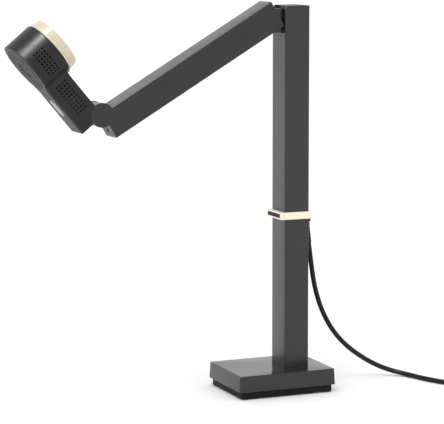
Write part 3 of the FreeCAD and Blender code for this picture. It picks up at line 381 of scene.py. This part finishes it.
def diffuser():
    """Frosted lamp window with fine ribs across it."""
    colour = (0.4, 0.4, 0.39)
    f = Finish("diffuser", colour, 0.4, Specular_IOR_Level=0.3, Subsurface_Weight=0.3,
               Subsurface_Radius=(0.002, 0.002, 0.002))
    ribs = f.node("ShaderNodeTexWave", {"wave_type": "BANDS", "bands_direction": "Y"},
                  Vector=f.place, Scale=350.0).outputs["Fac"]
    f.colour(f.mix(f.spread(f.noise(0.004, 4.0)), colour, shade(colour, 0.86)))
    f.roughness(f.spread(f.noise(0.002), 0.35, 0.5))
    f.bump(ribs, 0.00003)
    return f.material


def cream(name, colour):
    """Satin cream lacquer with a soft grain."""
    f = Finish(name, colour, 0.4, Subsurface_Weight=0.05,
               Subsurface_Radius=(0.001, 0.0008, 0.0005))
    cloud = f.spread(f.noise(0.014, 4.0))
    specks = f.spots(0.0016, 0.06)
    body = f.mix(cloud, colour, shade(colour, 0.95))
    speck_colour = (0.5, 0.4, 0.28)
    f.colour(f.mix(f.maths("MULTIPLY", specks, 0.2), body, speck_colour))
    f.roughness(f.spread(f.noise(0.005, 4.0), 0.34, 0.47))
    f.bump(f.noise(0.0005, 3.0), 0.00001)
    return f.material


def make_materials():
    """Finishes by the record's slot, and by node for the nodes that differ from their slot: darker
    copies of the paint and the cream, as painted shade.
    """
    # Painted shade: the arm tube, elbow covers and pivot covers get the column's black paint made
    # darker
    arm_painted_shade = painted_black("arm_painted_shade", (0.009, 0.009, 0.0095))
    # Painted shade: the knob and its cap get the ring's cream made darker
    knob_cream_painted_shade = cream("knob_cream_painted_shade", (0.7, 0.6, 0.465))
    return {
        "gloss_black": gloss_black(),
        "satin_black": moulded("satin_black", (0.011, 0.011, 0.0113), 0.3, 0.38, 0.0004, 0.00002,
                               Specular_IOR_Level=0.3),
        "painted_black": painted_black("painted_black", (0.017, 0.017, 0.018)),
        "arm_tube": arm_painted_shade,
        "elbow_covers": arm_painted_shade,
        "arm_pivot_covers": arm_painted_shade,
        "face_grey": moulded("face_grey", (0.03, 0.03, 0.0305), 0.42, 0.54, 0.0004, 0.00002,
                             Specular_IOR_Level=0.22),
        "rubber": rubber(),
        "steel": metal("steel", (0.56, 0.56, 0.57), 0.22, 0.42, (1, 0.05, 1)),
        "aluminium": metal("aluminium", (0.78, 0.78, 0.79), 0.28, 0.5, (0.08, 1, 1)),
        "cream": cream("cream", (0.88, 0.81, 0.66)),
        "knob": knob_cream_painted_shade,
        "knob_cap": knob_cream_painted_shade,
        "black_part": moulded("black_part", (0.008, 0.008, 0.008), 0.5, 0.65, 0.0003, 0.00001,
                              Specular_IOR_Level=0.15),
        "circuit_board": circuit_board(),
        "cable_jacket": cable_jacket(),
        "plug_metal": metal("plug_metal", (0.72, 0.72, 0.73), 0.12, 0.26, (0.1, 1, 1)),
        "screen_cloth": screen_cloth(),
        "glass": glass(),
        "diffuser": diffuser(),
    }


def dress(obj, material):
    obj.data.materials.clear()
    obj.data.materials.append(material)


# ---- CAD nodes: finish and smooth shading ------------------------------------------------------
WELD_DISTANCE = 1e-6
SHARP_ANGLE = math.radians(24)


def smooth_node(obj):
    """Joins the facets' corners and shades round faces smoothly, keeping real edges sharp."""
    obj.data.polygons.foreach_set("use_smooth", [True] * len(obj.data.polygons))
    weld = obj.modifiers.new("weld", "WELD")
    weld.merge_threshold = WELD_DISTANCE
    split = obj.modifiers.new("edges", "EDGE_SPLIT")
    split.split_angle = SHARP_ANGLE
    split.use_edge_sharp = False


def dress_nodes(materials):
    """Gives every CAD node its own finish, or else its slot's."""
    for row in frame["record"]["subparts"]:
        node = frame["nodes"][row["node"]]
        dress(node, materials.get(row["node"], materials[row["material_slot"]]))
        smooth_node(node)


# ---- floor and light ---------------------------------------------------------------------------
FLOOR_REACH = 60.0
OBJECT_MIDDLE = Vector((-0.1, 0.0, 0.2))
WORLD_STRENGTH = 1.0
SUN_STRENGTH = 0.75
SUN_SPREAD = math.radians(30)
SUN_FROM = Vector((-0.45, -0.5, 1.2))
BOX_FROM = Vector((-0.42, -0.35, 0.83))
BOX_DISTANCE = 2.5
BOX_SIZE = (0.4, 1.4)
BOX_POWER = 60.0


def make_floor():
    mesh = bpy.data.meshes.new("floor")
    corners = [(x * FLOOR_REACH, y * FLOOR_REACH, 0)
               for x, y in ((-1, -1), (1, -1), (1, 1), (-1, 1))]
    mesh.from_pydata(corners, [], [(0, 1, 2, 3)])
    floor = add_object("floor", mesh)
    f = Finish("floor_white", (0.93, 0.93, 0.93), 0.9, Specular_IOR_Level=0.0)
    dress(floor, f.material)


def aim(obj, towards):
    """Turns a light so that it shines from that direction."""
    obj.rotation_mode = "QUATERNION"
    obj.rotation_quaternion = towards.to_track_quat("Z", "Y")


def make_world():
    world = bpy.data.worlds.new("studio")
    world.use_nodes = True
    background = world.node_tree.nodes["Background"]
    background.inputs["Color"].default_value = (1, 1, 1, 1)
    background.inputs["Strength"].default_value = WORLD_STRENGTH
    bpy.context.scene.world = world
    bpy.context.scene.view_settings.view_transform = "Standard"


def make_sun():
    data = bpy.data.lights.new("soft_key", "SUN")
    data.energy = SUN_STRENGTH
    data.angle = SUN_SPREAD
    aim(add_object("soft_key", data), SUN_FROM)


def make_overhead_box():
    """A long soft light that shows in reflections only, and leaves the floor as it is."""
    data = bpy.data.lights.new("overhead_box", "AREA")
    data.shape = "RECTANGLE"
    data.size, data.size_y = BOX_SIZE
    data.energy = BOX_POWER
    box = add_object("overhead_box", data)
    box.location = OBJECT_MIDDLE + BOX_FROM.normalized() * BOX_DISTANCE
    aim(box, BOX_FROM)
    box.visible_diffuse = False


make_camera()
cable_run = make_cable()
finishes = make_materials()
dress(cable_run, finishes["cable_jacket"])
dress_nodes(finishes)
make_floor()
make_world()
make_sun()
make_overhead_box()
